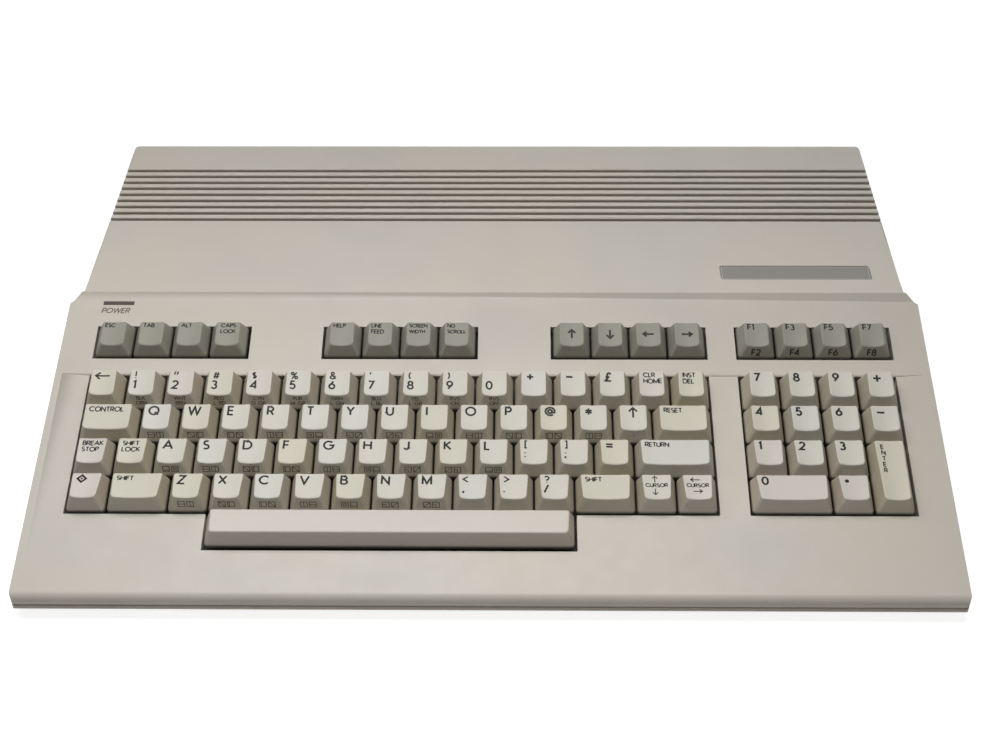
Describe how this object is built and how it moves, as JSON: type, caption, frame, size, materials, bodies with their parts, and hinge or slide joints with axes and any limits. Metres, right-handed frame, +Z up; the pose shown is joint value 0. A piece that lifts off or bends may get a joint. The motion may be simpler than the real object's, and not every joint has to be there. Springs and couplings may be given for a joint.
{
  "type": "vintage home computer",
  "caption": "Flat all-in-one home computer: sloping keyboard deck with pale and grey sprung keys, ribbed rear section, sockets at the rear and right side.",
  "frame": {"origin": "under the middle of the case, on the surface that the feet stand on", "axes": "+X to the user's right along the width, +Y from the front edge to the rear wall, +Z up"},
  "size_m": [0.4344, 0.332, 0.0612],
  "materials": {
    "case_plastic": "fine-grained moulded plastic",
    "base_plastic": "fine-grained moulded plastic",
    "foot_rubber": "matt",
    "screw_steel": "plated",
    "badge": "satin print ground, bare",
    "lamp_lens": "smoked",
    "lamp": "clear coloured resin",
    "circuit_board": "solder mask",
    "tinned_sheet": "tinned",
    "chip_plastic": "moulded epoxy",
    "board_fittings": "sleeved",
    "black_plastic": "moulded",
    "plug_metal": "plated",
    "button_plastic": "moulded",
    "frame_plastic": "moulded",
    "spring_steel": "drawn wire",
    "cable_plastic": "flat cable",
    "pale_keycap": "lightly textured",
    "grey_keycap": "lightly textured"
  },
  "bodies": {
    "computer": {"top_case": "case_plastic", "bottom_case": "base_plastic", "rubber_feet": "foot_rubber", "case_screws": "screw_steel", "badge_plate": "badge", "lamp_window": "lamp_lens", "power_lamp": "lamp", "main_board": "circuit_board", "inner_screws": "screw_steel", "shield_cover": "tinned_sheet", "chips": "chip_plastic", "board_parts": "board_fittings", "modulator_box": "tinned_sheet", "cartridge_connector": "black_plastic", "round_sockets": "black_plastic", "nine_pin_sockets": "plug_metal", "power_socket": "black_plastic", "power_switch_body": "black_plastic", "reset_switch_body": "black_plastic", "keyboard_frame": "frame_plastic", "keyboard_board": "circuit_board", "key_springs": "spring_steel", "keyboard_cable": "cable_plastic"},
    "space_bar": {"space_bar": "pale_keycap"},
    "symbol_key": {"symbol_key": "pale_keycap"},
    "left_shift_key": {"left_shift_key": "pale_keycap"},
    "right_shift_key": {"right_shift_key": "pale_keycap"},
    "cursor_up_down_key": {"cursor_up_down_key": "pale_keycap"},
    "cursor_left_right_key": {"cursor_left_right_key": "pale_keycap"},
    "run_stop_key": {"run_stop_key": "pale_keycap"},
    "shift_lock_key": {"shift_lock_key": "pale_keycap"},
    "return_key": {"return_key": "pale_keycap"},
    "control_key": {"control_key": "pale_keycap"},
    "restore_key": {"restore_key": "pale_keycap"},
    "zero_key": {"zero_key": "pale_keycap"},
    "enter_key": {"enter_key": "pale_keycap"},
    "lower_letter_keys": {"lower_letter_keys": "pale_keycap"},
    "home_letter_keys": {"home_letter_keys": "pale_keycap"},
    "upper_letter_keys": {"upper_letter_keys": "pale_keycap"},
    "number_keys": {"number_keys": "pale_keycap"},
    "edit_keys": {"edit_keys": "pale_keycap"},
    "number_pad_keys": {"number_pad_keys": "pale_keycap"},
    "escape_key": {"escape_key": "grey_keycap"},
    "tab_key": {"tab_key": "grey_keycap"},
    "alt_key": {"alt_key": "grey_keycap"},
    "caps_lock_key": {"caps_lock_key": "grey_keycap"},
    "help_key": {"help_key": "grey_keycap"},
    "line_feed_key": {"line_feed_key": "grey_keycap"},
    "display_key": {"display_key": "grey_keycap"},
    "no_scroll_key": {"no_scroll_key": "grey_keycap"},
    "up_key": {"up_key": "grey_keycap"},
    "down_key": {"down_key": "grey_keycap"},
    "left_key": {"left_key": "grey_keycap"},
    "right_key": {"right_key": "grey_keycap"},
    "function_keys": {"function_keys": "grey_keycap"},
    "reset_button": {"reset_button": "button_plastic"},
    "power_rocker": {"power_rocker": "black_plastic"},
    "channel_switch": {"channel_switch": "black_plastic"}
  },
  "joints": [
    {"name": "space_bar_press", "type": "slide", "parent": "computer", "child": "space_bar", "axis": [0, 0.2588, -0.9659], "range_m": [0, 0.0038], "stiffness_N_per_m": 390, "springref_m": -0.0025, "deforming": ["key_springs"]},
    {"name": "symbol_key_press", "type": "slide", "parent": "computer", "child": "symbol_key", "axis": [0, 0.2588, -0.9659], "range_m": [0, 0.0038], "stiffness_N_per_m": 130, "springref_m": -0.0025, "deforming": ["key_springs"]},
    {"name": "left_shift_key_press", "type": "slide", "parent": "computer", "child": "left_shift_key", "axis": [0, 0.2588, -0.9659], "range_m": [0, 0.0038], "stiffness_N_per_m": 130, "springref_m": -0.0025, "deforming": ["key_springs"]},
    {"name": "right_shift_key_press", "type": "slide", "parent": "computer", "child": "right_shift_key", "axis": [0, 0.2588, -0.9659], "range_m": [0, 0.0038], "stiffness_N_per_m": 130, "springref_m": -0.0025, "deforming": ["key_springs"]},
    {"name": "cursor_up_down_key_press", "type": "slide", "parent": "computer", "child": "cursor_up_down_key", "axis": [0, 0.2588, -0.9659], "range_m": [0, 0.0038], "stiffness_N_per_m": 130, "springref_m": -0.0025, "deforming": ["key_springs"]},
    {"name": "cursor_left_right_key_press", "type": "slide", "parent": "computer", "child": "cursor_left_right_key", "axis": [0, 0.2588, -0.9659], "range_m": [0, 0.0038], "stiffness_N_per_m": 130, "springref_m": -0.0025, "deforming": ["key_springs"]},
    {"name": "run_stop_key_press", "type": "slide", "parent": "computer", "child": "run_stop_key", "axis": [0, 0.2588, -0.9659], "range_m": [0, 0.0038], "stiffness_N_per_m": 130, "springref_m": -0.0025, "deforming": ["key_springs"]},
    {"name": "shift_lock_key_press", "type": "slide", "parent": "computer", "child": "shift_lock_key", "axis": [0, 0.2588, -0.9659], "range_m": [0, 0.0038], "stiffness_N_per_m": 130, "springref_m": -0.0025, "deforming": ["key_springs"]},
    {"name": "return_key_press", "type": "slide", "parent": "computer", "child": "return_key", "axis": [0, 0.2588, -0.9659], "range_m": [0, 0.0038], "stiffness_N_per_m": 130, "springref_m": -0.0025, "deforming": ["key_springs"]},
    {"name": "control_key_press", "type": "slide", "parent": "computer", "child": "control_key", "axis": [0, 0.2588, -0.9659], "range_m": [0, 0.0038], "stiffness_N_per_m": 130, "springref_m": -0.0025, "deforming": ["key_springs"]},
    {"name": "restore_key_press", "type": "slide", "parent": "computer", "child": "restore_key", "axis": [0, 0.2588, -0.9659], "range_m": [0, 0.0038], "stiffness_N_per_m": 130, "springref_m": -0.0025, "deforming": ["key_springs"]},
    {"name": "zero_key_press", "type": "slide", "parent": "computer", "child": "zero_key", "axis": [0, 0.2588, -0.9659], "range_m": [0, 0.0038], "stiffness_N_per_m": 130, "springref_m": -0.0025, "deforming": ["key_springs"]},
    {"name": "enter_key_press", "type": "slide", "parent": "computer", "child": "enter_key", "axis": [0, 0.2588, -0.9659], "range_m": [0, 0.0038], "stiffness_N_per_m": 130, "springref_m": -0.0025, "deforming": ["key_springs"]},
    {"name": "lower_letter_keys_press", "type": "slide", "parent": "computer", "child": "lower_letter_keys", "axis": [0, 0.2588, -0.9659], "range_m": [0, 0.0038], "stiffness_N_per_m": 1300, "springref_m": -0.0025, "deforming": ["key_springs"]},
    {"name": "home_letter_keys_press", "type": "slide", "parent": "computer", "child": "home_letter_keys", "axis": [0, 0.2588, -0.9659], "range_m": [0, 0.0038], "stiffness_N_per_m": 1560, "springref_m": -0.0025, "deforming": ["key_springs"]},
    {"name": "upper_letter_keys_press", "type": "slide", "parent": "computer", "child": "upper_letter_keys", "axis": [0, 0.2588, -0.9659], "range_m": [0, 0.0038], "stiffness_N_per_m": 1690, "springref_m": -0.0025, "deforming": ["key_springs"]},
    {"name": "number_keys_press", "type": "slide", "parent": "computer", "child": "number_keys", "axis": [0, 0.2588, -0.9659], "range_m": [0, 0.0038], "stiffness_N_per_m": 1820, "springref_m": -0.0025, "deforming": ["key_springs"]},
    {"name": "edit_keys_press", "type": "slide", "parent": "computer", "child": "edit_keys", "axis": [0, 0.2588, -0.9659], "range_m": [0, 0.0038], "stiffness_N_per_m": 260, "springref_m": -0.0025, "deforming": ["key_springs"]},
    {"name": "number_pad_keys_press", "type": "slide", "parent": "computer", "child": "number_pad_keys", "axis": [0, 0.2588, -0.9659], "range_m": [0, 0.0038], "stiffness_N_per_m": 1560, "springref_m": -0.0025, "deforming": ["key_springs"]},
    {"name": "escape_key_press", "type": "slide", "parent": "computer", "child": "escape_key", "axis": [0, 0.2588, -0.9659], "range_m": [0, 0.0038], "stiffness_N_per_m": 130, "springref_m": -0.0025, "deforming": ["key_springs"]},
    {"name": "tab_key_press", "type": "slide", "parent": "computer", "child": "tab_key", "axis": [0, 0.2588, -0.9659], "range_m": [0, 0.0038], "stiffness_N_per_m": 130, "springref_m": -0.0025, "deforming": ["key_springs"]},
    {"name": "alt_key_press", "type": "slide", "parent": "computer", "child": "alt_key", "axis": [0, 0.2588, -0.9659], "range_m": [0, 0.0038], "stiffness_N_per_m": 130, "springref_m": -0.0025, "deforming": ["key_springs"]},
    {"name": "caps_lock_key_press", "type": "slide", "parent": "computer", "child": "caps_lock_key", "axis": [0, 0.2588, -0.9659], "range_m": [0, 0.0038], "stiffness_N_per_m": 130, "springref_m": -0.0025, "deforming": ["key_springs"]},
    {"name": "help_key_press", "type": "slide", "parent": "computer", "child": "help_key", "axis": [0, 0.2588, -0.9659], "range_m": [0, 0.0038], "stiffness_N_per_m": 130, "springref_m": -0.0025, "deforming": ["key_springs"]},
    {"name": "line_feed_key_press", "type": "slide", "parent": "computer", "child": "line_feed_key", "axis": [0, 0.2588, -0.9659], "range_m": [0, 0.0038], "stiffness_N_per_m": 130, "springref_m": -0.0025, "deforming": ["key_springs"]},
    {"name": "display_key_press", "type": "slide", "parent": "computer", "child": "display_key", "axis": [0, 0.2588, -0.9659], "range_m": [0, 0.0038], "stiffness_N_per_m": 130, "springref_m": -0.0025, "deforming": ["key_springs"]},
    {"name": "no_scroll_key_press", "type": "slide", "parent": "computer", "child": "no_scroll_key", "axis": [0, 0.2588, -0.9659], "range_m": [0, 0.0038], "stiffness_N_per_m": 130, "springref_m": -0.0025, "deforming": ["key_springs"]},
    {"name": "up_key_press", "type": "slide", "parent": "computer", "child": "up_key", "axis": [0, 0.2588, -0.9659], "range_m": [0, 0.0038], "stiffness_N_per_m": 130, "springref_m": -0.0025, "deforming": ["key_springs"]},
    {"name": "down_key_press", "type": "slide", "parent": "computer", "child": "down_key", "axis": [0, 0.2588, -0.9659], "range_m": [0, 0.0038], "stiffness_N_per_m": 130, "springref_m": -0.0025, "deforming": ["key_springs"]},
    {"name": "left_key_press", "type": "slide", "parent": "computer", "child": "left_key", "axis": [0, 0.2588, -0.9659], "range_m": [0, 0.0038], "stiffness_N_per_m": 130, "springref_m": -0.0025, "deforming": ["key_springs"]},
    {"name": "right_key_press", "type": "slide", "parent": "computer", "child": "right_key", "axis": [0, 0.2588, -0.9659], "range_m": [0, 0.0038], "stiffness_N_per_m": 130, "springref_m": -0.0025, "deforming": ["key_springs"]},
    {"name": "function_keys_press", "type": "slide", "parent": "computer", "child": "function_keys", "axis": [0, 0.2588, -0.9659], "range_m": [0, 0.0038], "stiffness_N_per_m": 520, "springref_m": -0.0025, "deforming": ["key_springs"]},
    {"name": "reset_press", "type": "slide", "parent": "computer", "child": "reset_button", "axis": [-1, 0, 0], "range_m": [0, 0.002], "stiffness_N_per_m": 300, "springref_m": -0.001},
    {"name": "power_rock", "type": "hinge", "parent": "computer", "child": "power_rocker", "pos_m": [0.2025, 0.106, 0.0186], "axis": [0, 0, 1], "range_deg": [0, 16]},
    {"name": "channel_slide", "type": "slide", "parent": "computer", "child": "channel_switch", "axis": [1, 0, 0], "range_m": [0, 0.003]}
  ]
}
